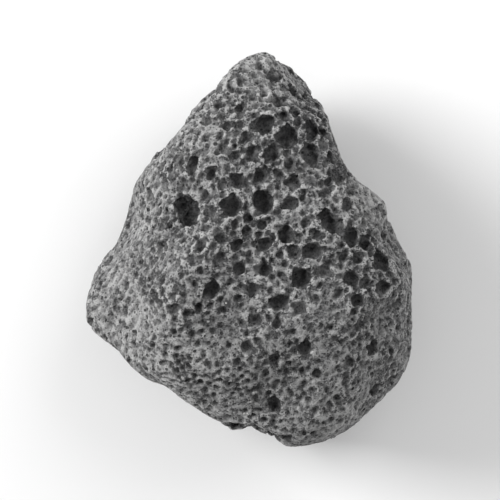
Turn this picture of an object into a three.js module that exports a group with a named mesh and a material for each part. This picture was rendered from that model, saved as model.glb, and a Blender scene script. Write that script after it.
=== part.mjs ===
// A pebble of black lava rock (scoria), in millimetres, +Z up, lying on its widest broken face.
//
// It is one natural piece, so it is one mesh. A cube's grid of points is blown up onto a stone-shaped
// surface: a blunt polyhedron of broken faces, with hollows and knobs pressed into it and a slow undulation
// all over. Seen from above it is a shield: a blunt tip at +Y, a corner at -X, a rounded heel at -Y and +X.
// The origin is on the surface that it rests on, at the middle of its length and width.

import * as THREE from "three";
import { mergeVertices } from "three/addons/utils/BufferGeometryUtils.js";

// Driving dimensions.
const WIDTH = 20.8; // along X
const LENGTH = 24.9; // along Y
const HEIGHT = 13.4; // along Z, from the surface that it rests on
const HEART_HEIGHT = 6.4; // how high the point that all faces are measured from lies

const GRID = 20; // cells along each edge of the cube
const EDGE_CRISPNESS = 20; // the power that blends the faces: higher gives sharper edges between them

const COLOUR = new THREE.Color(0.11, 0.11, 0.112);
const ROUGHNESS = 0.92;
const METALNESS = 0.0;

// The broken faces. bearing turns from +X towards +Y and lift rises from the horizon, both in degrees, and
// reach is the face's distance from the stone's heart.
const FACES = [
  // the outline, from the right-hand side round by the tip
  { bearing: 352, lift: 6, reach: 10.5 },
  { bearing: 32, lift: 8, reach: 7.8 },
  { bearing: 56, lift: -2, reach: 11.7 },
  { bearing: 79, lift: -4, reach: 13.3 },
  { bearing: 131, lift: 4, reach: 9.3 },
  { bearing: 155, lift: 8, reach: 8.2 },
  { bearing: 193, lift: -4, reach: 11.6 },
  { bearing: 237, lift: 2, reach: 10.5 },
  { bearing: 256, lift: 0, reach: 12.8 },
  { bearing: 282, lift: 2, reach: 13.0 },
  { bearing: 302, lift: 0, reach: 14.6 },
  { bearing: 330, lift: 6, reach: 11.4 },
  // the broad upper face and the slopes round it
  { bearing: 285, lift: 84, reach: 7.1 },
  { bearing: 95, lift: 66, reach: 7.7 },
  { bearing: 158, lift: 45, reach: 7.4 },
  { bearing: 205, lift: 42, reach: 9.3 },
  { bearing: 240, lift: 42, reach: 9.9 },
  { bearing: 318, lift: 46, reach: 10.6 },
  { bearing: 12, lift: 44, reach: 9.2 },
  { bearing: 70, lift: 36, reach: 10.8 },
  // the underside: the face that it rests on, a little below where it is cut flat, and the breaks round it
  { bearing: 0, lift: -90, reach: 6.8 },
  { bearing: 40, lift: -38, reach: 8.6 },
  { bearing: 98, lift: -33, reach: 10.6 },
  { bearing: 158, lift: -41, reach: 8.3 },
  { bearing: 226, lift: -36, reach: 9.3 },
  { bearing: 300, lift: -38, reach: 11.7 },
  { bearing: 345, lift: -44, reach: 9.7 },
];

// Hollows broken into the faces, each round a direction from the heart. span is the hollow's radius, and a
// knob is a hollow of negative depth.
const HOLLOWS = [
  { bearing: 50, lift: 76, span: 8.0, depth: 0.6 }, // the dish in the upper face
  { bearing: 40, lift: 6, span: 3.8, depth: 1.4 }, // the bight in the right-hand side
  { bearing: 16, lift: 20, span: 2.4, depth: -0.5 }, // the ledge below it
  { bearing: 205, lift: -2, span: 3.2, depth: -0.8 }, // the left-hand corner
  { bearing: 270, lift: 8, span: 2.8, depth: 1.4 }, // the notch in the heel
  { bearing: 272, lift: -9, span: 2.8, depth: 1.4 }, // and its lower half
  { bearing: 276, lift: 31, span: 3.4, depth: 0.8 }, // the valley that runs up from the notch
  { bearing: 300, lift: 24, span: 3.6, depth: -0.5 }, // the lobe to the right of it
  { bearing: 207, lift: 26, span: 2.2, depth: 0.4 }, // the dimple in the left-hand corner
  { bearing: 167, lift: 2, span: 2.8, depth: 0.5 }, // the waist of the left-hand side
  { bearing: 72, lift: 22, span: 2.2, depth: 0.5 }, // the nick beside the tip
  // on the flanks
  { bearing: 335, lift: 24, span: 2.8, depth: 0.45 },
  { bearing: 120, lift: -12, span: 3.0, depth: 0.7 },
  { bearing: 248, lift: -22, span: 2.8, depth: 0.7 },
  { bearing: 324, lift: -20, span: 3.2, depth: 0.8 },
  { bearing: 5, lift: -24, span: 2.8, depth: 0.7 },
  { bearing: 185, lift: -30, span: 3.0, depth: 0.6 },
];

// The undulation is a sum of plane waves, whose directions are spread evenly over the sphere.
const WAVES = 12;
const LONGEST_WAVE = 11.0;
const SHORTEST_WAVE = 3.4;
const WAVE_STEEPNESS = 0.017; // each wave's height as a share of its length
const GOLDEN_ANGLE = Math.PI * (3 - Math.sqrt(5));
const PHASE_STEP = 0.9;

const radians = THREE.MathUtils.degToRad;

// The unit vector at a bearing and a lift, in degrees.
function towards(bearing, lift) {
  const level = Math.cos(radians(lift));
  return new THREE.Vector3(
    level * Math.cos(radians(bearing)),
    level * Math.sin(radians(bearing)),
    Math.sin(radians(lift)),
  );
}

const faces = FACES.map(({ bearing, lift, reach }) => ({
  normal: towards(bearing, lift),
  reach,
}));

// How far the blunt polyhedron reaches from the heart along a unit vector.
function bluntReach(direction) {
  let sum = 0;
  for (const { normal, reach } of faces)
    sum += Math.max(0, direction.dot(normal) / reach) ** EDGE_CRISPNESS;
  return sum ** (-1 / EDGE_CRISPNESS);
}

const hollows = HOLLOWS.map(({ bearing, lift, span, depth }) => {
  const direction = towards(bearing, lift);
  return { centre: direction.clone().multiplyScalar(bluntReach(direction)), span, depth };
});

// How deep the hollows are at a point of the polyhedron: each is a smooth bowl that ends level with the face.
function hollowDepth(point) {
  let total = 0;
  for (const { centre, span, depth } of hollows) {
    const share = Math.min(1, point.distanceTo(centre) / span);
    total += depth * (1 - share ** 2) ** 2;
  }
  return total;
}

const waves = Array.from({ length: WAVES }, (_, i) => {
  const height = 1 - (2 * i + 1) / WAVES;
  const level = Math.sqrt(1 - height ** 2);
  const turn = i * GOLDEN_ANGLE;
  const wavelength = LONGEST_WAVE * (SHORTEST_WAVE / LONGEST_WAVE) ** (i / (WAVES - 1));
  return {
    vector: new THREE.Vector3(level * Math.cos(turn), level * Math.sin(turn), height).multiplyScalar(
      (2 * Math.PI) / wavelength,
    ),
    amplitude: WAVE_STEEPNESS * wavelength,
    phase: PHASE_STEP * i ** 2,
  };
});

function undulation(point) {
  return waves.reduce(
    (sum, { vector, amplitude, phase }) => sum + amplitude * Math.sin(point.dot(vector) + phase),
    0,
  );
}

// The stone's surface along a unit vector from its heart.
function surfacePoint(direction) {
  const point = direction.clone().multiplyScalar(bluntReach(direction));
  return point.addScaledVector(direction, undulation(point) - hollowDepth(point));
}

// Evens out the angles between a cube's grid lines, for a coordinate from -1 to 1.
const evenAngle = (coordinate) => Math.tan((coordinate * Math.PI) / 4);

// The unit vector for a point of the cube, drawn out to the stone's proportions so that its cells come
// out alike in size.
function spread(x, y, z) {
  return new THREE.Vector3(evenAngle(x), evenAngle(y), evenAngle(z))
    .normalize()
    .multiply(new THREE.Vector3(WIDTH, LENGTH, HEIGHT))
    .normalize();
}

function stoneGeometry() {
  const box = new THREE.BoxGeometry(2, 2, 2, GRID, GRID, GRID);
  box.deleteAttribute("normal");
  box.deleteAttribute("uv");
  const geometry = mergeVertices(box);
  const position = geometry.getAttribute("position");
  for (let i = 0; i < position.count; i++) {
    const point = surfacePoint(spread(position.getX(i), position.getY(i), position.getZ(i)));
    const height = Math.max(-HEART_HEIGHT, point.z); // cuts the face that it rests on flat
    position.setXYZ(i, point.x, point.y, height);
  }
  return toSize(geometry);
}

// Stretches the stone to its driving dimensions, and puts the origin below its middle, where it rests.
function toSize(geometry) {
  geometry.computeBoundingBox();
  const { min, max } = geometry.boundingBox;
  geometry.translate(-(min.x + max.x) / 2, -(min.y + max.y) / 2, -min.z);
  geometry.scale(WIDTH / (max.x - min.x), LENGTH / (max.y - min.y), HEIGHT / (max.z - min.z));
  geometry.computeVertexNormals();
  return geometry;
}

const lava = new THREE.MeshStandardMaterial({
  color: COLOUR,
  roughness: ROUGHNESS,
  metalness: METALNESS,
  flatShading: true,
});

const stone = new THREE.Mesh(stoneGeometry(), lava);
stone.name = "lava_stone";

const lavaRock = new THREE.Group();
lavaRock.add(stone);

export default lavaRock;
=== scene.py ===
"""A pebble of black lava rock on a pale floor, seen from straight above.

The stone is one closed surface. A box-shaped grid of points is blown up onto a blunt polyhedron of broken
faces, hollows and knobs are pressed into it, and then three generations of gas bubbles are opened in it, the
largest first, each in the surface that the one before has left.
"""

import logging
import math
from dataclasses import dataclass
from enum import Enum
from functools import cached_property
from typing import NamedTuple

import bpy
import numpy as np
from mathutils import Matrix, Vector


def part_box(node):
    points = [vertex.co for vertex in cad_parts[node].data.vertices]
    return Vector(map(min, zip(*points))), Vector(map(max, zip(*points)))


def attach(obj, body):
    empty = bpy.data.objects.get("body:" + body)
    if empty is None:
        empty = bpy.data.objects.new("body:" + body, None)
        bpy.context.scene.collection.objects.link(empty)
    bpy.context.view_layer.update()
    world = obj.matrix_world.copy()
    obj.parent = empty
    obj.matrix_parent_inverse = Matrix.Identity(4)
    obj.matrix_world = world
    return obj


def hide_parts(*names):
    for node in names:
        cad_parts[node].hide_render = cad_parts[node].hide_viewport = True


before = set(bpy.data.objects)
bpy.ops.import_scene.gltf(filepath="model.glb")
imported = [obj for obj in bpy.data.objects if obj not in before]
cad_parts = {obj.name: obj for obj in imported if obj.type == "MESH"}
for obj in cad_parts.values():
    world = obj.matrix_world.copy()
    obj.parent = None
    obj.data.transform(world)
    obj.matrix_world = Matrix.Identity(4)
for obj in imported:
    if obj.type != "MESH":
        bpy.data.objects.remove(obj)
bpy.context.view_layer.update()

logging.basicConfig(level=logging.INFO, format="%(message)s")
log = logging.getLogger("lava_rock")

Array = np.ndarray

MM = 0.001
TINY = 1e-6  # keeps a division from being by 0
HASH_STEPS = (374761393, 668265263, 2147483647)  # how far the hash moves on along each axis
HASH_SEED_STEP = 144665  # and from one seed to the next
HASH_FACTOR = 1274126177
HASH_BITS = 0xFFFFF  # the bits that are kept of it
NODE = "lava_stone"
BODY = "root"


# ------------------------------------------------------------ numbers and noise


def smoothstep(low: float, high: float, values: Array) -> Array:
    """An S-shaped rise from 0 at low to 1 at high.

    Args:
        low: The value at which the rise starts.
        high: The value at which it ends.
        values: Any array.

    Returns:
        3 t^2 - 2 t^3 of the share t of the way from low to high, the same shape as values.
    """
    share = np.clip((values - low) / (high - low), 0, 1)
    return share * share * (3 - 2 * share)


def towards(bearing: Array, lift: Array) -> Array:
    """Unit vectors from bearings, which turn from +X towards +Y, and lifts above the horizon.

    Args:
        bearing: Angles in degrees.
        lift: Angles in degrees, as many.

    Returns:
        One unit vector a row.
    """
    bearing, lift = np.radians(bearing), np.radians(lift)
    level = np.cos(lift)
    return np.stack([level * np.cos(bearing), level * np.sin(bearing), np.sin(lift)], axis=-1)


def unit(vectors: Array) -> Array:
    """The vectors, each divided by its length."""
    return vectors / np.linalg.norm(vectors, axis=-1, keepdims=True)


@dataclass(frozen=True)
class Noise:
    """Smooth random values in space, the same on every run.

    Each corner of a cubic lattice holds a random number, which is a hash of its whole-number coordinates,
    and between corners the numbers are blended by an S-shaped curve along each axis.

    Attributes:
        seed: Which of the many noises it is.
        rough_shift: How far each octave of rough noise is shifted, so that the lattices don't line up.
        crusty_shift: How far each octave of crusty noise is.
    """

    seed: int
    rough_shift: float = 7.3
    crusty_shift: float = 3.1

    def at(self, points: Array, size: float) -> Array:
        """The noise at each point.

        Args:
            points: One point a row.
            size: The lattice's spacing, in the points' own units.

        Returns:
            One value from -1 to 1 a point.
        """
        cells = points / size
        low = np.floor(cells).astype(np.int64)
        ease = smoothstep(0, 1, cells - low)
        total = np.zeros(len(points))
        for corner in np.ndindex(2, 2, 2):
            weight = np.prod(np.where(corner, ease, 1 - ease), axis=-1)
            total += weight * self._hash(low + corner)
        return 2 * total - 1

    def rough(self, points: Array, size: float, octaves: int) -> Array:
        """Noise with finer noise on it.

        Octave i has 1 / 2^i of the size and of the height.

        Args:
            points: One point a row.
            size: The coarsest lattice's spacing.
            octaves: How many layers there are.

        Returns:
            The layers' sum at each point.
        """
        shift = self.rough_shift
        layers = (self.at(points + shift * i, size / 2**i) / 2**i for i in range(octaves))
        return sum(layers)

    def crusty(self, points: Array, size: float, octaves: int) -> Array:
        """As rough, but with sharp crests round rounded hollows.

        Each octave is folded at 0 and turned over: it is (0.5 - |noise|) / 2^i.

        Args:
            points: One point a row.
            size: The coarsest lattice's spacing.
            octaves: How many layers there are.

        Returns:
            The layers' sum at each point.
        """
        shift = self.crusty_shift
        layers = ((0.5 - abs(self.at(points + shift * i, size / 2**i))) / 2**i for i in range(octaves))
        return sum(layers)

    def _hash(self, lattice: Array) -> Array:
        """A number from 0 to 1 for each row of three whole numbers, by multiplying and folding bits."""
        mixed = lattice @ np.array(HASH_STEPS, dtype=np.int64)
        mixed = mixed + self.seed * HASH_SEED_STEP
        mixed = (mixed ^ (mixed >> 13)) * HASH_FACTOR
        mixed = mixed ^ (mixed >> 16)
        return (mixed & HASH_BITS) / HASH_BITS


# --------------------------------------------------------------- the plain form


class Face(NamedTuple):
    """A broken face: which way it looks, and its distance from the stone's heart in millimetres."""

    bearing: float
    lift: float
    reach: float


class Hollow(NamedTuple):
    """A bowl pressed in round a direction from the heart, in millimetres. A negative depth makes a knob."""

    bearing: float
    lift: float
    span: float
    depth: float


class Patch(NamedTuple):
    """A patch round a direction from the heart: its radius in millimetres and its middle's strength."""

    bearing: float
    lift: float
    span: float
    strength: float


@dataclass(frozen=True)
class StoneForm:
    """The stone's outer form without its bubbles, in millimetres, the same as its solid's."""

    width: float
    length: float
    height: float
    heart_height: float = 6.4
    edge_crispness: float = 20.0
    waves: int = 12
    longest_wave: float = 11.0
    shortest_wave: float = 3.4
    wave_steepness: float = 0.017
    phase_step: float = 0.9

    outline_faces: tuple[Face, ...] = (
        Face(352, 6, 10.5),
        Face(32, 8, 7.8),
        Face(56, -2, 11.7),
        Face(79, -4, 13.3),
        Face(131, 4, 9.3),
        Face(155, 8, 8.2),
        Face(193, -4, 11.6),
        Face(237, 2, 10.5),
        Face(256, 0, 12.8),
        Face(282, 2, 13.0),
        Face(302, 0, 14.6),
        Face(330, 6, 11.4),
    )
    upper_faces: tuple[Face, ...] = (
        Face(285, 84, 7.1),
        Face(95, 66, 7.7),
        Face(158, 45, 7.4),
        Face(205, 42, 9.3),
        Face(240, 42, 9.9),
        Face(318, 46, 10.6),
        Face(12, 44, 9.2),
        Face(70, 36, 10.8),
    )
    under_faces: tuple[Face, ...] = (
        Face(0, -90, 6.8),
        Face(40, -38, 8.6),
        Face(98, -33, 10.6),
        Face(158, -41, 8.3),
        Face(226, -36, 9.3),
        Face(300, -38, 11.7),
        Face(345, -44, 9.7),
    )
    hollows: tuple[Hollow, ...] = (
        Hollow(50, 76, 8.0, 0.6),  # the dish in the upper face
        Hollow(40, 6, 3.8, 1.4),  # the bight in the right-hand side
        Hollow(16, 20, 2.4, -0.5),  # the ledge below it
        Hollow(205, -2, 3.2, -0.8),  # the left-hand corner
        Hollow(270, 8, 2.8, 1.4),  # the notch in the heel
        Hollow(272, -9, 2.8, 1.4),  # and its lower half
        Hollow(276, 31, 3.4, 0.8),  # the valley that runs up from the notch
        Hollow(300, 24, 3.6, -0.5),  # the lobe to the right of it
        Hollow(207, 26, 2.2, 0.4),  # the dimple in the left-hand corner
        Hollow(167, 2, 2.8, 0.5),  # the waist of the left-hand side
        Hollow(72, 22, 2.2, 0.5),  # the nick beside the tip
        Hollow(335, 24, 2.8, 0.45),  # from here on, the bowls in the flanks
        Hollow(120, -12, 3.0, 0.7),
        Hollow(248, -22, 2.8, 0.7),
        Hollow(324, -20, 3.2, 0.8),
        Hollow(5, -24, 2.8, 0.7),
        Hollow(185, -30, 3.0, 0.6),
    )

    @cached_property
    def _planes(self) -> tuple[Array, Array]:
        """The broken faces' normals, one a row, and their reaches."""
        bearing, lift, reach = np.array(self.outline_faces + self.upper_faces + self.under_faces).T
        return towards(bearing, lift), reach

    def blunt(self, directions: Array) -> Array:
        """Points on the blunt polyhedron.

        A plane at reach d with normal n cuts a direction u at d / (u . n). The point's distance from the
        heart is a soft smallest of those: (sum of max(0, u . n / d)^p)^(-1/p), where p is edge_crispness.

        Args:
            directions: One unit vector a row.

        Returns:
            One point a row, measured from the heart.
        """
        normals, reach = self._planes
        nearness = np.maximum(0, directions @ normals.T / reach) ** self.edge_crispness
        return directions * (nearness.sum(axis=-1) ** (-1 / self.edge_crispness))[:, None]

    def hollow_depth(self, points: Array) -> Array:
        """How deep the hollows are at points of the polyhedron.

        Each is a smooth bowl that ends level with the face: depth (1 - (distance / span)^2)^2.

        Args:
            points: Points of the polyhedron, one a row.

        Returns:
            One depth a point, below 0 on a knob.
        """
        bearing, lift, span, depth = np.array(self.hollows).T
        centres = self.blunt(towards(bearing, lift))
        apart = np.linalg.norm(points[:, None] - centres, axis=-1)
        return (depth * (1 - np.minimum(1, apart / span) ** 2) ** 2).sum(axis=-1)

    def undulation(self, points: Array) -> Array:
        """A slow rise and fall: a sum of plane waves whose directions are spread evenly over the sphere.

        The directions climb a spiral whose turns are golden angles, and each wave is shorter than the one
        before by the same ratio, and as steep.

        Args:
            points: Points of the polyhedron, one a row.

        Returns:
            One height a point.
        """
        order = np.arange(self.waves)
        height = 1 - (2 * order + 1) / self.waves
        turn = order * math.pi * (3 - math.sqrt(5))
        heading = towards(np.degrees(turn), np.degrees(np.arcsin(height)))
        ratio = self.shortest_wave / self.longest_wave
        wavelength = self.longest_wave * ratio ** (order / (self.waves - 1))
        phases = points @ (heading * (2 * math.pi / wavelength)[:, None]).T + self.phase_step * order**2
        return (self.wave_steepness * wavelength * np.sin(phases)).sum(axis=-1)

    def surface(self, directions: Array) -> Array:
        """The stone's surface along each direction from its heart, stretched to its size and set on z = 0.

        Args:
            directions: One unit vector a row.

        Returns:
            One point a row, with the origin where the stone rests, below its middle.
        """
        points = self.blunt(directions)
        points = points + directions * (self.undulation(points) - self.hollow_depth(points))[:, None]
        points[:, 2] = np.maximum(-self.heart_height, points[:, 2])
        low, high = points.min(axis=0), points.max(axis=0)
        middle = np.append((low + high)[:2] / 2, low[2])
        return (points - middle) * np.array([self.width, self.length, self.height]) / (high - low)


# --------------------------------------------------------------------- the grid


class Side(Enum):
    """The six sides of the box that the stone's grid starts as: two axes that run along it, and its own."""

    RIGHT = (1, 2, 0, 1)
    LEFT = (2, 1, 0, -1)
    BACK = (2, 0, 1, 1)
    FRONT = (0, 2, 1, -1)
    TOP = (0, 1, 2, 1)
    BOTTOM = (1, 0, 2, -1)


@dataclass(frozen=True)
class BoxGrid:
    """A closed grid of four-sided cells over a box, with its seams welded, and its unfolding on a square.

    Attributes:
        cells: How many cells there are along X, Y and Z.
        atlas_gap: How much of its tile in the atlas each side leaves free all round.
        columns: How many tiles the atlas has side by side.
        rows: How many rows of them it has.
    """

    cells: tuple[int, int, int]
    atlas_gap: float = 0.012
    columns: int = 3
    rows: int = 2

    @cached_property
    def _sheets(self) -> tuple[Array, Array, Array]:
        """The sides' lattice points, their cells as rows of four points, and the points' atlas places."""
        lattice, quads, places, offset = [], [], [], 0
        for tile, side in enumerate(Side):
            along, across, normal, sign = side.value
            steps = self.cells[along], self.cells[across]
            i, j = np.meshgrid(*(np.arange(n + 1) for n in steps), indexing="ij")
            points = np.empty((i.size, 3), dtype=np.int64)
            points[:, along] = i.ravel()
            points[:, across] = j.ravel()
            points[:, normal] = self.cells[normal] if sign > 0 else 0
            index = np.arange(i.size).reshape(i.shape) + offset
            around = [index[:-1, :-1], index[1:, :-1], index[1:, 1:], index[:-1, 1:]]
            share = np.stack([i / steps[0], j / steps[1]], axis=-1).reshape(-1, 2)
            share = self.atlas_gap + share * (1 - 2 * self.atlas_gap)
            row, column = divmod(tile, self.columns)
            places.append((share + [column, row]) / [self.columns, self.rows])
            quads.append(np.stack(around, axis=-1).reshape(-1, 4))
            lattice.append(points)
            offset += i.size
        return np.concatenate(lattice), np.concatenate(quads), np.concatenate(places)

    def build(self) -> tuple[Array, Array, Array]:
        """The welded grid.

        Returns:
            The points of the grid on a box from -1 to 1, one a row; the cells, each a row of four indices
            that turns anticlockwise seen from outside; and where in the atlas each cell's corners lie.
        """
        lattice, quads, places = self._sheets
        welded, index = np.unique(lattice, axis=0, return_inverse=True)
        return 2 * welded / np.array(self.cells) - 1, index.reshape(-1)[quads], places[quads]


@dataclass
class Skin:
    """A surface of points and four-sided cells, which the bubbles are opened in."""

    points: Array
    quads: Array

    def normals(self) -> Array:
        """Each point's unit normal: along the sum of its cells' cross products of diagonals."""
        corner = self.points[self.quads]
        areas = np.cross(corner[:, 2] - corner[:, 0], corner[:, 3] - corner[:, 1])
        owners = self.quads.ravel()
        shares = np.repeat(areas, 4, axis=0)
        sums = [np.bincount(owners, shares[:, axis], len(self.points)) for axis in range(3)]
        return unit(np.stack(sums, axis=-1))

    def smoothed(self, values: Array, rounds: int) -> Array:
        """Values on the points, each round replaced by the mean of their cells' means.

        Args:
            values: One row or number a point.
            rounds: How many times to do it.

        Returns:
            An array of the same shape.
        """
        owners = self.quads.ravel()
        counts = np.bincount(owners, minlength=len(self.points))
        flat = values.reshape(len(values), -1)
        for _ in range(rounds):
            means = np.repeat(flat[self.quads].mean(axis=1), 4, axis=0)
            sums = [np.bincount(owners, column, len(self.points)) / counts for column in means.T]
            flat = np.stack(sums, axis=-1)
        return flat.reshape(values.shape)

    def relief(self, rounds: int) -> Array:
        """How far each point stands proud of the surface smoothed so many rounds, below 0 where sunk."""
        return ((self.points - self.smoothed(self.points, rounds)) * self.normals()).sum(axis=1)


# ------------------------------------------------------------------ the bubbles


class Pit(NamedTuple):
    """A large bubble opened in the upper side: its mouth's middle, seen from above, and its radius."""

    x: float
    y: float
    radius: float


@dataclass(frozen=True)
class BubbleCrop:
    """One generation of gas bubbles, cut open by the surface. Lengths are in millimetres.

    Their radii follow a power law: a share u of them is larger than
    small (u + (1 - u) (large / small)^-p)^(-1/p). The flow of the lava has drawn each of them out a little,
    more or less along one direction.

    Attributes:
        seed: Where the random numbers start.
        small: The smallest mouth's radius.
        large: The largest mouth's radius, apart from the listed bubbles.
        power: The power p of the radii's law.
        tries: How many bubbles are tried.
        gap: How close two mouths' centres may come, as a share of their radii's sum.
        rind_share: The share of the smallest bubbles that open on pure rind.
        shallow: The smallest angle from a bubble's bottom to its mouth, in degrees.
        deep: The largest such angle.
        deeper_pit: How much larger it is in a listed bubble.
        ragged: How far noise shifts a mouth's edge, as a share of its radius.
        longest: The most drawn-out bubble's length, as a share of its width.
        lip: How far round a mouth the surface is drawn in, as a share of its radius.
        wall: How much nearer to its own mouth than to the next one a point has to be, as a share of the
            radius, to be drawn in fully.
        side_on: The cosine between the surface and a bubble's axis below which nothing moves.
        face_on: The cosine above which all of the movement counts.
        axis_rounds: How many rounds of smoothing settle a bubble's axis.
        flow: The lava's direction of flow.
        flow_spread: How far the bubbles' own directions stray from it.
        stretch: A bubble's depth, as a share of a round one's.
        chunk: How many points are worked out at a time.
    """

    seed: int
    small: float
    large: float
    power: float
    tries: int
    gap: float
    rind_share: float
    shallow: float
    deep: float
    ragged: float
    deeper_pit: float = 2.0
    longest: float = 1.4
    lip: float = 0.4
    wall: float = 0.3
    side_on: float = 0.05
    face_on: float = 0.4
    axis_rounds: int = 3
    flow: tuple[float, float, float] = (0.55, 0.80, 0.25)
    flow_spread: float = 0.7
    stretch: float = 1.3
    chunk: int = 4096

    def scatter(self, skin: Skin, rind: Array, pits: tuple[Pit, ...]) -> tuple[Array, Array]:
        """Where the bubbles open: dart throwing, the largest first, none nearer another than gap allows.

        A dart is kept with a chance of (1 - (1 - rind_share) rind)^(radius / small), so bubbles are fewer on
        rind, the large ones above all.

        Args:
            skin: The surface that they open in.
            rind: How much of each point is rind, from 0 to 1.
            pits: The bubbles that are there whatever chance says.

        Returns:
            The indices of the points that they open at, and their radii.
        """
        chance = np.random.default_rng(self.seed)
        darts = chance.choice(len(skin.points), self.tries, replace=False)
        share = np.sort(chance.random(self.tries))
        ratio = (self.large / self.small) ** -self.power
        radii = self.small * (share + (1 - share) * ratio) ** (-1 / self.power)
        odds = 1 - (1 - self.rind_share) * rind[darts]
        kept = chance.random(self.tries) < odds ** (radii / self.small)
        darts = np.append(self._under(skin, pits), darts[kept]).astype(int)
        radii = np.append([pit.radius for pit in pits], radii[kept])
        places = skin.points[darts]
        chosen = list(range(len(pits)))
        for i in range(len(pits), len(darts)):
            apart = np.linalg.norm(places[chosen] - places[i], axis=-1)
            if np.all(apart > self.gap * (radii[chosen] + radii[i])):
                chosen.append(i)
        return darts[chosen], radii[chosen]

    @staticmethod
    def _under(skin: Skin, pits: tuple[Pit, ...]) -> list[int]:
        """The index of the highest of the points nearest below the middle of each pit's mouth."""
        upper = np.flatnonzero(skin.points[:, 2] > skin.points[:, 2].max() / 2)
        apart = [np.hypot(*(skin.points[upper, :2] - [pit.x, pit.y]).T) for pit in pits]
        return [int(upper[np.argmin(distance)]) for distance in apart]

    def open(self, skin: Skin, rind: Array, pits: tuple[Pit, ...] = ()) -> Array:
        """Opens the bubbles in the surface, by moving its points.

        A point whose distance from a mouth's centre is a share t of the mouth's radius a goes to the angle
        t m on the bubble's wall, counted from its bottom, where m is the mouth's angle. So it lies at
        a sin(t m) / sin(m) from the axis, and a (cos(t m) - cos(m)) / sin(m) deep, times stretch. Points
        within lip of the mouth are drawn in towards its edge, which keeps it crisp: t becomes
        1 + (t - 1)^2 / lip. Between two mouths that nearly meet the pull fades out, so that the wall between
        them stays where it is.

        Args:
            skin: The surface, which is changed.
            rind: How much of each point is rind, from 0 to 1.
            pits: Bubbles with places of their own, which are the deepest.

        Returns:
            How far down a bubble each point has gone, as a share of its mouth's radius.
        """
        darts, radii = self.scatter(skin, rind, pits)
        chance = np.random.default_rng(self.seed + 1)
        mouths = np.radians(chance.uniform(self.shallow, self.deep, len(darts)))
        mouths[: len(pits)] = math.radians(self.deep + self.deeper_pit)
        normals = skin.normals()
        centres = skin.points[darts]
        axes = unit(skin.smoothed(normals, self.axis_rounds)[darts])
        grain = unit(np.cross(axes, self.flow + chance.normal(0, self.flow_spread, axes.shape)))
        grain = np.cross(grain, axes)
        narrowing = 1 - chance.uniform(1, self.longest, len(darts)) ** -2.0
        ragged = 1 + self.ragged * Noise(self.seed).rough(skin.points, self.large, octaves=3)
        depth_share = np.zeros(len(skin.points))
        moved = skin.points.copy()
        for start in range(0, len(skin.points), self.chunk):
            rows = slice(start, start + self.chunk)
            here = skin.points[rows]
            square = (here**2).sum(1)[:, None] + (centres**2).sum(1) - 2 * here @ centres.T
            square -= narrowing * (here @ grain.T - (centres * grain).sum(1)) ** 2
            share = np.sqrt(np.maximum(square, 0)) / radii * ragged[rows, None]
            nearest = np.argpartition(share, 1, axis=1)[:, :2]
            first, second = np.take_along_axis(share, nearest, axis=1).T
            owner = nearest[:, 0]
            alone = smoothstep(0, self.wall, second - first)
            facing = smoothstep(self.side_on, self.face_on, (normals[rows] * axes[owner]).sum(axis=1))
            away = here - centres[owner]
            height = (away * axes[owner]).sum(axis=1)
            level = away - height[:, None] * axes[owner]
            mouth, radius = mouths[owner], radii[owner]
            angle = np.minimum(first, 1) * mouth
            inside = np.sin(angle) / np.sin(mouth)
            outside = 1 + (first - 1) ** 2 / self.lip
            target = np.where(first < 1, inside, outside) / np.maximum(first, TINY)
            pull = np.where(first < 1 + self.lip, alone, 0) * facing
            drop = self.stretch * radius * (np.cos(angle) - np.cos(mouth)) / np.sin(mouth) * facing
            moved[rows] = here + ((target - 1) * pull)[:, None] * level - drop[:, None] * axes[owner]
            depth_share[rows] = drop / radius
        skin.points = moved
        log.info("%d bubbles of %.2f to %.2f mm radius", len(darts), radii.min(), radii.max())
        return depth_share


# -------------------------------------------------------------- shader building


class Signal:
    """The output of a shader node, whose arithmetic adds Math nodes."""

    def __init__(self, graph: "Graph", socket: bpy.types.NodeSocket) -> None:
        """Wraps a socket of a graph."""
        self.graph = graph
        self.socket = socket

    def _math(self, operation: str, first: "Signal | float", second: "Signal | float") -> "Signal":
        """One Math node on two signals or numbers."""
        return self.graph.add("ShaderNodeMath", {"operation": operation}, {0: first, 1: second})

    def __add__(self, other: "Signal | float") -> "Signal":
        """self + other"""
        return self._math("ADD", self, other)

    def __sub__(self, other: "Signal | float") -> "Signal":
        """self - other"""
        return self._math("SUBTRACT", self, other)

    def __rsub__(self, other: "Signal | float") -> "Signal":
        """other - self"""
        return self._math("SUBTRACT", other, self)

    def __mul__(self, other: "Signal | float") -> "Signal":
        """self * other"""
        return self._math("MULTIPLY", self, other)

    def __lt__(self, other: "Signal | float") -> "Signal":
        """1 where self is less than other, or else 0"""
        return self._math("LESS_THAN", self, other)

    __radd__ = __add__
    __rmul__ = __mul__


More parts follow.
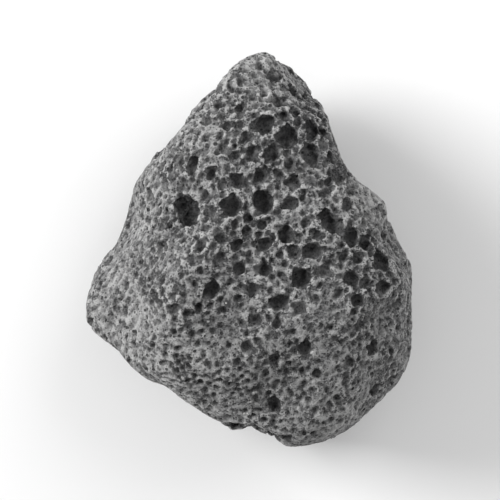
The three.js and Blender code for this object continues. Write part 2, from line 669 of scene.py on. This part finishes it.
class Graph:
    """The shader nodes of one material."""

    def __init__(self, name: str) -> None:
        """Makes an empty material of that name."""
        self.material = bpy.data.materials.new(name)
        self.material.use_nodes = True
        self.tree = self.material.node_tree
        self.tree.nodes.clear()

    def add(self, kind: str, settings: dict, sockets: dict, output: str | int = 0) -> Signal:
        """Adds a node.

        Args:
            kind: The node's type.
            settings: Its properties, which are set first.
            sockets: The value of each input, or a Signal to link to it, by name or number.
            output: The name or number of the output that is wanted.

        Returns:
            That output.
        """
        node = self.tree.nodes.new(kind)
        for name, value in settings.items():
            setattr(node, name, value)
        for key, value in sockets.items():
            socket = self._find(node.inputs, key)
            if isinstance(value, Signal):
                self.tree.links.new(value.socket, socket)
            else:
                socket.default_value = value
        return Signal(self, self._find(node.outputs, output))

    def mixed(self, share: Signal, first: "Signal | tuple", second: "Signal | tuple") -> Signal:
        """A colour that goes from first to second as share goes from 0 to 1."""
        sockets = {"Factor": share, "A": first, "B": second}
        return self.add("ShaderNodeMix", {"data_type": "RGBA"}, sockets, "Result")

    def finish(self, shader: Signal) -> None:
        """Links a shader to the material's output."""
        output = self.tree.nodes.new("ShaderNodeOutputMaterial")
        self.tree.links.new(shader.socket, output.inputs["Surface"])

    def rise(self, values: Signal, low: float, high: float) -> Signal:
        """An S-shaped rise from 0 at low to 1 at high, or a fall where low is the greater.

        Args:
            values: The signal that rises.
            low: Its value where the result is 0.
            high: Its value where the result is 1.

        Returns:
            3 t^2 - 2 t^3 of the share t of the way from low to high.
        """
        limits = {"From Min": low, "From Max": high}
        if low > high:
            limits = {"From Min": high, "From Max": low, "To Min": 1.0, "To Max": 0.0}
        settings = {"interpolation_type": "SMOOTHSTEP"}
        return self.add("ShaderNodeMapRange", settings, {"Value": values} | limits)

    @staticmethod
    def _find(sockets: bpy.types.bpy_prop_collection, key: str | int) -> bpy.types.NodeSocket:
        """The socket in use that has this name, or the one with this number."""
        if isinstance(key, int):
            return sockets[key]
        return next(socket for socket in sockets if socket.enabled and socket.name == key)


# ----------------------------------------------------------------- the finishes


@dataclass(frozen=True)
class LavaFinish:
    """Black scoria: gritty charcoal glass full of pinholes, dusty on its rind; painted shade in its bubbles.

    The ground is sooty where its grit is low. Dust lies on it in patches, most of all on rind and on the
    edges that are paled by rubbing. Those edges are paler in spots, as the crests between bubbles are:
    partly from rubbing, partly as painted highlight on what stands out to the light. Mineral specks are
    pale, with painted glints. Pinholes, bubbles and hollows are darkened as painted shade. Sizes are in
    millimetres. A layer's strength comes from a sum of signals, in which each counts by a weight such as
    grit_in_dust. It rises from 0 to 1 over the layer's range, and the layer's cover is the most that it
    hides of those below it.
    """

    ground: tuple = (0.194, 0.194, 0.196, 1)
    soot: tuple = (0.044, 0.044, 0.045, 1)
    dust: tuple = (0.280, 0.279, 0.277, 1)
    # the pale of rubbing and of painted highlight, on the paled edges and crests
    worn_and_sheen: tuple = (0.500, 0.499, 0.495, 1)
    # pale mineral specks, brightened as painted glints
    crystal_glint: tuple = (0.480, 0.476, 0.466, 1)
    # painted shade: the dark that bubbles, hollows, pinholes and pores are darkened towards
    painted_shade_colour: tuple = (0.029, 0.029, 0.030, 1)

    mottle_size: float = 2.6
    dusting_size: float = 0.9
    grit_size: float = 0.34
    sugar_size: float = 0.12
    fractal_gain: float = 0.62

    pinhole_spacing: float = 0.42
    pinhole_size: float = 0.30
    pore_spacing: float = 0.17
    pore_size: float = 0.36
    least_size: float = 0.02
    hole_edge: float = 0.05
    hole_lip: float = 0.03
    hole_reach: float = 0.22
    crystal_spacing: float = 0.36
    crystal_size: float = 0.24
    crystal_share: float = 0.05

    mottle_in_ground: float = 0.6
    sugar_in_ground: float = 0.7
    ground_range: tuple[float, float] = (0.34, 0.66)
    grit_in_dust: float = 0.9
    rind_in_dust: float = 0.08
    # the paled edges, partly painted highlight, add a little to the dust
    wear_and_sheen_in_dust: float = 0.12
    dust_range: tuple[float, float] = (0.86, 1.26)
    dust_cover: float = 0.78
    # paler spots by rubbing, partly painted highlight on edges and crests that stand out to the light
    dusting_in_rubbed_and_sheen: float = 0.7
    wear_and_sheen_in_rubbed: float = 0.1
    rubbed_and_sheen_range: tuple[float, float] = (0.86, 1.10)
    rubbed_and_sheen_cover: float = 0.48
    sugar_in_crest: float = 0.8
    crest_range: tuple[float, float] = (0.36, 0.62)
    crest_height: float = 0.13
    crest_cover: float = 0.85

    # painted shade: how far bubbles by their depth, hollows by relief, pinholes and pores are darkened
    bubble_shade_range: tuple[float, float] = (0.20, 1.1)
    bubble_shade_most: float = 0.87
    grit_in_bubble_shade: float = 0.75
    hollow_shade_start: float = 0.02
    hollow_depth: float = 0.30
    hollow_shade_most: float = 0.42
    pinhole_shade: float = 0.85
    pore_shade: float = 0.7

    roughness: float = 0.93
    grit_roughness: float = 0.12
    glaze_range: tuple[float, float] = (0.1, 0.6)
    glaze_gloss: float = 0.33
    crystal_gloss: float = 0.5
    specular: float = 0.4
    grit_in_bump: float = 1.1
    sugar_in_bump: float = 0.9
    pinhole_in_bump: float = 0.9
    pore_in_bump: float = 0.5
    bump_height: float = 0.18

    def material(self) -> bpy.types.Material:
        """The finish as a material, on Object coordinates and the stone's own attributes."""
        graph = Graph("black_lava")
        place = graph.add("ShaderNodeTexCoord", {}, {}, "Object")
        rind = graph.add("ShaderNodeAttribute", {"attribute_name": "rind"}, {}, "Fac")
        wear_and_sheen = graph.add("ShaderNodeAttribute", {"attribute_name": "wear_and_sheen"}, {}, "Fac")
        bubble = graph.add("ShaderNodeAttribute", {"attribute_name": "bubble"}, {}, "Fac")
        relief = graph.add("ShaderNodeAttribute", {"attribute_name": "relief"}, {}, "Fac")

        mottle = self._noise(graph, place, self.mottle_size, 4)
        grit = self._noise(graph, place, self.grit_size, 5)
        sugar = self._noise(graph, place, self.sugar_size, 3)
        dusting = self._noise(graph, place, self.dusting_size, 4)
        pinholes, hole_depth = self._pinholes(graph, place, self.pinhole_spacing, self.pinhole_size)
        pores, pore_depth = self._pinholes(graph, place, self.pore_spacing, self.pore_size)
        crystal_glints = self._crystal_glints(graph, place)

        bare = grit + (mottle - 0.5) * self.mottle_in_ground + (sugar - 0.5) * self.sugar_in_ground
        colour = graph.mixed(graph.rise(bare, *self.ground_range), self.soot, self.ground)
        dusted = dusting + grit * self.grit_in_dust + rind * self.rind_in_dust + wear_and_sheen * self.wear_and_sheen_in_dust
        dusted = graph.rise(dusted, *self.dust_range)
        colour = graph.mixed(dusted * self.dust_cover, colour, self.dust)
        # paler on the patches: rubbing, partly painted highlight on the edges that face the light
        rubbed_and_sheen = dusting * self.dusting_in_rubbed_and_sheen + grit + wear_and_sheen * self.wear_and_sheen_in_rubbed
        rubbed_and_sheen = graph.rise(rubbed_and_sheen, *self.rubbed_and_sheen_range) * wear_and_sheen
        colour = graph.mixed(rubbed_and_sheen * self.rubbed_and_sheen_cover, colour, self.worn_and_sheen)
        # crests paler: partly rubbing, partly painted highlight where they stand out to the light
        gritty = graph.rise(grit + (sugar - 0.5) * self.sugar_in_crest, *self.crest_range)
        crest_and_sheen = graph.rise(relief, 0.0, self.crest_height) * gritty
        colour = graph.mixed(crest_and_sheen * self.crest_cover, colour, self.worn_and_sheen)
        # painted glints: pale mineral specks
        colour = graph.mixed(crystal_glints, colour, self.crystal_glint)
        # painted shade: bubbles, hollows, pinholes and pores darkened towards the shade colour
        bubble_shade = graph.rise(bubble, *self.bubble_shade_range) * (self.bubble_shade_most - grit * self.grit_in_bubble_shade)
        hollow_shade = graph.rise(relief, -self.hollow_shade_start, -self.hollow_depth) * self.hollow_shade_most
        unshaded_by_holes = (1 - pinholes * self.pinhole_shade) * (1 - pores * self.pore_shade)
        shade_share = 1 - unshaded_by_holes * (1 - bubble_shade) * (1 - hollow_shade)
        colour = graph.mixed(shade_share, colour, self.painted_shade_colour)

        glaze = graph.rise(bubble, *self.glaze_range)
        roughness = self.roughness - glaze * self.glaze_gloss - crystal_glints * self.crystal_gloss
        roughness = roughness + (grit - 0.5) * self.grit_roughness
        raised = grit * self.grit_in_bump + sugar * self.sugar_in_bump
        height = raised - hole_depth * self.pinhole_in_bump - pore_depth * self.pore_in_bump
        bump = {"Height": height, "Strength": 1.0, "Distance": self.bump_height * MM}
        normal = graph.add("ShaderNodeBump", {}, bump, "Normal")
        looks = {"Base Color": colour, "Roughness": roughness, "Normal": normal}
        looks["Specular IOR Level"] = self.specular
        graph.finish(graph.add("ShaderNodeBsdfPrincipled", {}, looks))
        return graph.material

    def _noise(self, graph: Graph, place: Signal, size: float, detail: float) -> Signal:
        """Fractal noise from 0 to 1.

        Args:
            graph: The material's nodes.
            place: The coordinates.
            size: How far apart its largest lumps are.
            detail: How many finer layers it has.

        Returns:
            The noise.
        """
        settings = {"Scale": 1 / (size * MM), "Detail": detail, "Roughness": self.fractal_gain}
        return graph.add("ShaderNodeTexNoise", {}, {"Vector": place} | settings, "Fac")

    @staticmethod
    def _honeycomb(graph: Graph, place: Signal, spacing: float) -> tuple[Signal, Signal]:
        """A random honeycomb of cells.

        Args:
            graph: The material's nodes.
            place: The coordinates.
            spacing: The cells' spacing.

        Returns:
            The distance from the cell's middle, as a share of spacing, and the cell's own random colour.
        """
        sockets = {"Vector": place, "Scale": 1 / (spacing * MM), "Randomness": 1.0}
        distance = graph.add("ShaderNodeTexVoronoi", {"feature": "F1"}, sockets, "Distance")
        chance = graph.add("ShaderNodeTexVoronoi", {"feature": "F1"}, sockets, "Color")
        return distance, chance

    def _pinholes(self, graph: Graph, place: Signal, spacing: float, size: float) -> tuple[Signal, Signal]:
        """Round pinholes, one in each cell of a honeycomb, from least_size to that and size.

        Args:
            graph: The material's nodes.
            place: The coordinates.
            spacing: The cells' spacing.
            size: How much larger the largest hole's radius is than the smallest's, as a share of spacing.

        Returns:
            How far each spot is in a hole, with a soft edge, and how deep the hole is there, from 0 to 1.
        """
        distance, chance = self._honeycomb(graph, place, spacing)
        radius = graph.add("ShaderNodeSeparateColor", {}, {"Color": chance}, "Red") * size + self.least_size
        inside = distance - radius
        hole = graph.rise(inside, self.hole_edge, -self.hole_edge)
        return hole, graph.rise(inside, self.hole_lip, -self.hole_reach)

    def _crystal_glints(self, graph: Graph, place: Signal) -> Signal:
        """Sparse pale mineral specks, in a few of a honeycomb's cells, brightened as painted glints."""
        distance, chance = self._honeycomb(graph, place, self.crystal_spacing)
        kept = graph.add("ShaderNodeSeparateColor", {}, {"Color": chance}, "Green") < self.crystal_share
        return graph.rise(distance, self.crystal_size, self.crystal_size / 2) * kept


@dataclass(frozen=True)
class PaperFinish:
    """The pale, matt floor, with so many faint clouds to a metre, darker by cloud_shade."""

    colour: tuple = (0.86, 0.86, 0.86, 1)
    cloud_shade: float = 0.985
    clouds: float = 60.0
    roughness: float = 0.9

    def material(self) -> bpy.types.Material:
        """The finish as a material, with its clouds on Object coordinates."""
        graph = Graph("pale_floor")
        place = graph.add("ShaderNodeTexCoord", {}, {}, "Object")
        sockets = {"Vector": place, "Scale": self.clouds, "Detail": 2.0}
        cloud = graph.add("ShaderNodeTexNoise", {}, sockets, "Fac")
        darker = tuple(self.cloud_shade * part for part in self.colour[:3]) + (1,)
        colour = graph.mixed(cloud, self.colour, darker)
        looks = {"Base Color": colour, "Roughness": self.roughness}
        graph.finish(graph.add("ShaderNodeBsdfPrincipled", {}, looks))
        return graph.material


# -------------------------------------------------------------------- the stone


@dataclass(frozen=True)
class LavaStone:
    """The stone as it is seen: its form, its grain, its bubbles and its finish.

    Attributes:
        size: Its width, length and height in millimetres, as all lengths are.
        cell: The side of the grid's cells.
        seed: Where its noise starts.
        lump_size: How far apart the slow lumps of its surface are.
        lump_height: How high they are.
        crust_size: How far apart the crests of its broken surface are.
        crust_height: How high they are.
        rind_smoothing: The share of that height that rind takes away.
        relief_rounds: How many rounds of smoothing the relief is measured against.
        full_cover: The strength at which a patch covers the surface.
        fray: How far noise shifts a patch's strength.
        fray_size: How far apart that noise's lumps are.
        crops: Its generations of bubbles, the largest first.
        pits: Listed bubbles among the largest.
        rind_patches: Where its skin is dense.
        wear_and_sheen_patches: Where it is paled, partly by rubbing and partly as painted highlight.
    """

    size: tuple[float, float, float]
    cell: float = 0.1515
    seed: int = 41
    lump_size: float = 3.2
    lump_height: float = 0.15
    crust_size: float = 0.8
    crust_height: float = 0.14
    rind_smoothing: float = 0.6
    relief_rounds: int = 12
    full_cover: float = 1.05
    fray: float = 0.48
    fray_size: float = 2.4
    crops: tuple[BubbleCrop, ...] = (
        BubbleCrop(
            seed=5, small=0.24, large=0.57, power=2.6, tries=4800, gap=1.20,
            rind_share=0.05, shallow=74, deep=98, ragged=0.30,
        ),
        BubbleCrop(
            seed=6, small=0.15, large=0.24, power=2.0, tries=10000, gap=1.12,
            rind_share=0.62, shallow=70, deep=98, ragged=0.22,
        ),
        BubbleCrop(
            seed=7, small=0.11, large=0.17, power=1.5, tries=9000, gap=1.18,
            rind_share=0.85, shallow=62, deep=86, ragged=0.12,
        ),
    )
    pits: tuple[Pit, ...] = (
        Pit(-3.8, 2.4, 0.82),
        Pit(-1.1, 2.8, 0.62),
        Pit(0.8, 2.9, 0.58),
        Pit(2.4, 6.9, 0.62),
        Pit(0.9, 7.6, 0.56),
        Pit(5.0, 1.7, 0.60),
        Pit(8.0, -0.5, 0.62),
        Pit(3.2, -1.6, 0.55),
        Pit(-2.3, -2.4, 0.50),
        Pit(6.6, -3.0, 0.44),
        Pit(7.6, -6.0, 0.48),
        Pit(-3.5, 5.2, 0.42),
        Pit(-2.4, 4.6, 0.40),
        Pit(2.1, 1.0, 0.46),
        Pit(1.0, 0.4, 0.40),
        Pit(6.2, 0.8, 0.42),
        Pit(-0.6, -1.1, 0.42),
        Pit(6.2, -1.7, 0.44),
    )
    rind_patches: tuple[Patch, ...] = (
        Patch(158, 26, 6.8, 1.05),  # the left-hand side
        Patch(193, 20, 7.2, 1.2),
        Patch(228, 28, 8.2, 1.15),
        Patch(264, 32, 8.0, 1.15),  # the heel
        Patch(300, 24, 7.8, 1.3),
        Patch(330, 26, 6.4, 1.1),
        Patch(124, 20, 4.8, 1.0),  # towards the tip
        Patch(88, 20, 4.0, 0.8),
        Patch(19, 25, 2.6, 1.2),  # the ledge in the right-hand side
        Patch(20, -10, 6.0, 0.9),  # from here on, the flanks
        Patch(330, -55, 5.5, 0.8),
        Patch(110, -60, 5.0, 0.7),
    )
    # pale patches, partly rubbing, partly painted highlight, most on left-hand edges facing the key light
    wear_and_sheen_patches: tuple[Patch, ...] = (
        Patch(108, 16, 4.6, 1.15),  # along the upper left-hand edge, from the tip
        Patch(128, 16, 4.8, 1.2),
        Patch(148, 18, 4.6, 1.1),
        Patch(174, 12, 4.2, 0.85),
        Patch(202, 12, 4.6, 1.0),  # the left-hand corner
        Patch(229, 26, 5.6, 1.25),  # the edge that runs from it to the heel
        Patch(84, 18, 4.2, 0.9),  # the tip
        Patch(23, 32, 2.6, 1.3),  # the ledge in the right-hand side
        Patch(298, 14, 4.0, 0.9),  # the heel's lobe
        Patch(60, -30, 5.0, 0.8),  # from here on, the flanks
        Patch(330, -30, 5.0, 0.8),
    )

    def grid(self) -> BoxGrid:
        """The box of cells that the stone is blown up from, with cells of one size along all three axes."""
        return BoxGrid(tuple(2 * round(side / self.cell / 2) for side in self.size))

    def directions(self, lattice: Array) -> Array:
        """Unit vectors for points of a box from -1 to 1: tan(pi x / 4) evens out the grid lines' angles."""
        return unit(unit(np.tan(lattice * math.pi / 4)) * np.array(self.size))

    def cover(self, patches: tuple[Patch, ...], form: StoneForm, points: Array) -> Array:
        """How much of each point some patches cover.

        A patch's strength falls off as 1 - (distance / span)^2. The strongest counts, noise frays its edges,
        and the cover rises in an S from 0 at strength 0 to 1 at full_cover.

        Args:
            patches: The patches.
            form: The stone's form, which they lie on.
            points: One point a row.

        Returns:
            One value from 0 to 1 a point.
        """
        bearing, lift, span, strength = np.array(patches).T
        centres = form.blunt(towards(bearing, lift)) + [0, 0, form.heart_height]
        apart = np.linalg.norm(points[:, None] - centres, axis=-1)
        strongest = (strength * (1 - np.minimum(1, apart / span) ** 2)).max(axis=-1)
        frayed = strongest + self.fray * Noise(self.seed).rough(points, self.fray_size, octaves=3)
        return smoothstep(0.0, self.full_cover, frayed)

    def skin(self) -> tuple[Skin, Array, dict[str, Array]]:
        """The finished surface.

        Returns:
            The surface in millimetres, its places in the atlas, and what the finish reads at each point: how
            much is rind, how much it is paled by rubbing and painted highlight, how far down a bubble it
            lies, and how far it stands proud, in millimetres.
        """
        form = StoneForm(*self.size)
        lattice, quads, places = self.grid().build()
        skin = Skin(form.surface(self.directions(lattice)), quads)
        rind = self.cover(self.rind_patches, form, skin.points)
        # the pale patches, partly rubbing and partly painted highlight
        wear_and_sheen = self.cover(self.wear_and_sheen_patches, form, skin.points)
        skin.points = skin.points + self.grain(skin.points, rind)[:, None] * skin.normals()
        bubble = np.zeros(len(skin.points))
        for crop in self.crops:
            pits = self.pits if crop is self.crops[0] else ()
            bubble = np.maximum(bubble, crop.open(skin, rind, pits))
        skin = self.fitted(skin)
        relief = skin.relief(self.relief_rounds)
        return skin, places, {"rind": rind, "wear_and_sheen": wear_and_sheen, "bubble": bubble, "relief": relief}

    def grain(self, points: Array, rind: Array) -> Array:
        """How far the broken surface stands in or out.

        It is slow lumps, plus a crust of small crests, which rind smooths, less half a lump's height.

        Args:
            points: One point a row.
            rind: How much of each point is rind, from 0 to 1.

        Returns:
            One height a point.
        """
        lumps = self.lump_height * Noise(self.seed + 1).rough(points, self.lump_size, octaves=2)
        crust = self.crust_height * Noise(self.seed + 2).crusty(points, self.crust_size, octaves=3)
        return lumps + crust * (1 - self.rind_smoothing * rind) - 0.5 * self.lump_height

    def fitted(self, skin: Skin) -> Skin:
        """The surface cut off flat where it rests, and drawn out to fill the solid's box."""
        points = skin.points * [1, 1, 0] + np.maximum(0, skin.points) * [0, 0, 1]
        low, high = points.min(axis=0), points.max(axis=0)
        middle = np.append((low + high)[:2] / 2, 0)
        return Skin((points - middle) * np.array(self.size) / (high - low * [1, 1, 0]), skin.quads)

    def build(self) -> bpy.types.Object:
        """The stone as an object, with its atlas, attributes and finish."""
        skin, places, layers = self.skin()
        mesh = bpy.data.meshes.new("lava_rock")
        mesh.from_pydata((skin.points * MM).tolist(), [], skin.quads.tolist())
        atlas = mesh.uv_layers.new(name="OFBake")
        atlas.data.foreach_set("uv", places.astype(np.float32).ravel())
        for name, values in layers.items():
            layer = mesh.attributes.new(name, "FLOAT", "POINT")
            layer.data.foreach_set("value", values.astype(np.float32))
        mesh.shade_smooth()
        mesh.materials.append(LavaFinish().material())
        mesh.validate()
        stone = bpy.data.objects.new("lava_rock", mesh)
        bpy.context.scene.collection.objects.link(stone)
        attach(stone, BODY)
        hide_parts(NODE)
        log.info("lava_rock: %d points, %d cells", len(mesh.vertices), len(mesh.polygons))
        return stone


# ------------------------------------------------------------------- the studio


class Lamp(NamedTuple):
    """A square area light: its name, its place and side in metres, and its power in watts."""

    name: str
    place: tuple[float, float, float]
    side: float
    power: float


@dataclass(frozen=True)
class Studio:
    """A pale floor, a soft light at the left, a larger, weaker one at the upper right, and a camera above.

    Lengths are in metres, apart from the camera's lens and sensor, which are in millimetres.
    """

    middle: Vector
    view_width: float = 0.0315
    lens: float = 200.0
    sensor: float = 36.0
    nearest: float = 0.01
    floor_side: float = 3.0
    daylight: float = 0.50
    lamps: tuple[Lamp, ...] = (
        Lamp("key_light", (-0.44, 0.17, 0.27), 0.26, 3.35),
        Lamp("fill_light", (0.31, 0.29, 0.30), 0.45, 1.35),
    )

    def build(self) -> None:
        """Makes the floor, the lights, the surroundings and the camera."""
        self.floor()
        for lamp in self.lamps:
            self.light(lamp)
        self.surroundings()
        self.camera()
        log.info("studio: floor, %d lights, surroundings and camera", len(self.lamps))

    def floor(self) -> None:
        """A large square on z = 0."""
        half = self.floor_side / 2
        points = [(-half, -half, 0), (half, -half, 0), (half, half, 0), (-half, half, 0)]
        mesh = bpy.data.meshes.new("floor")
        mesh.from_pydata(points, [], [(0, 1, 2, 3)])
        mesh.materials.append(PaperFinish().material())
        floor = bpy.data.objects.new("floor", mesh)
        bpy.context.scene.collection.objects.link(floor)

    def light(self, lamp: Lamp) -> None:
        """Hangs a lamp so that it faces the stone."""
        light = bpy.data.lights.new(lamp.name, "AREA")
        light.size = lamp.side
        light.energy = lamp.power
        place = Vector(lamp.place)
        holder = bpy.data.objects.new(lamp.name, light)
        holder.location = place
        holder.rotation_euler = (self.middle - place).to_track_quat("-Z", "Y").to_euler()
        bpy.context.scene.collection.objects.link(holder)

    def surroundings(self) -> None:
        """An even, pale light from all round."""
        world = bpy.data.worlds.new("surroundings")
        world.use_nodes = True
        background = world.node_tree.nodes["Background"]
        background.inputs["Color"].default_value = (1, 1, 1, 1)
        background.inputs["Strength"].default_value = self.daylight
        bpy.context.scene.world = world
        bpy.context.scene.view_settings.view_transform = "Standard"

    def camera(self) -> None:
        """A long lens that looks straight down, with +Y at the top of the picture."""
        lens = bpy.data.cameras.new("camera")
        lens.lens = self.lens
        lens.sensor_width = self.sensor
        lens.clip_start = self.nearest
        camera = bpy.data.objects.new("camera", lens)
        distance = self.view_width * self.lens / self.sensor
        camera.location = self.middle + Vector((0, 0, distance))
        bpy.context.scene.collection.objects.link(camera)
        bpy.context.scene.camera = camera


def main() -> None:
    """Builds the studio and the stone."""
    low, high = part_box(NODE)
    Studio(middle=(low + high) / 2).build()
    LavaStone(size=tuple((high - low) / MM)).build()


if __name__ == "__main__":
    main()
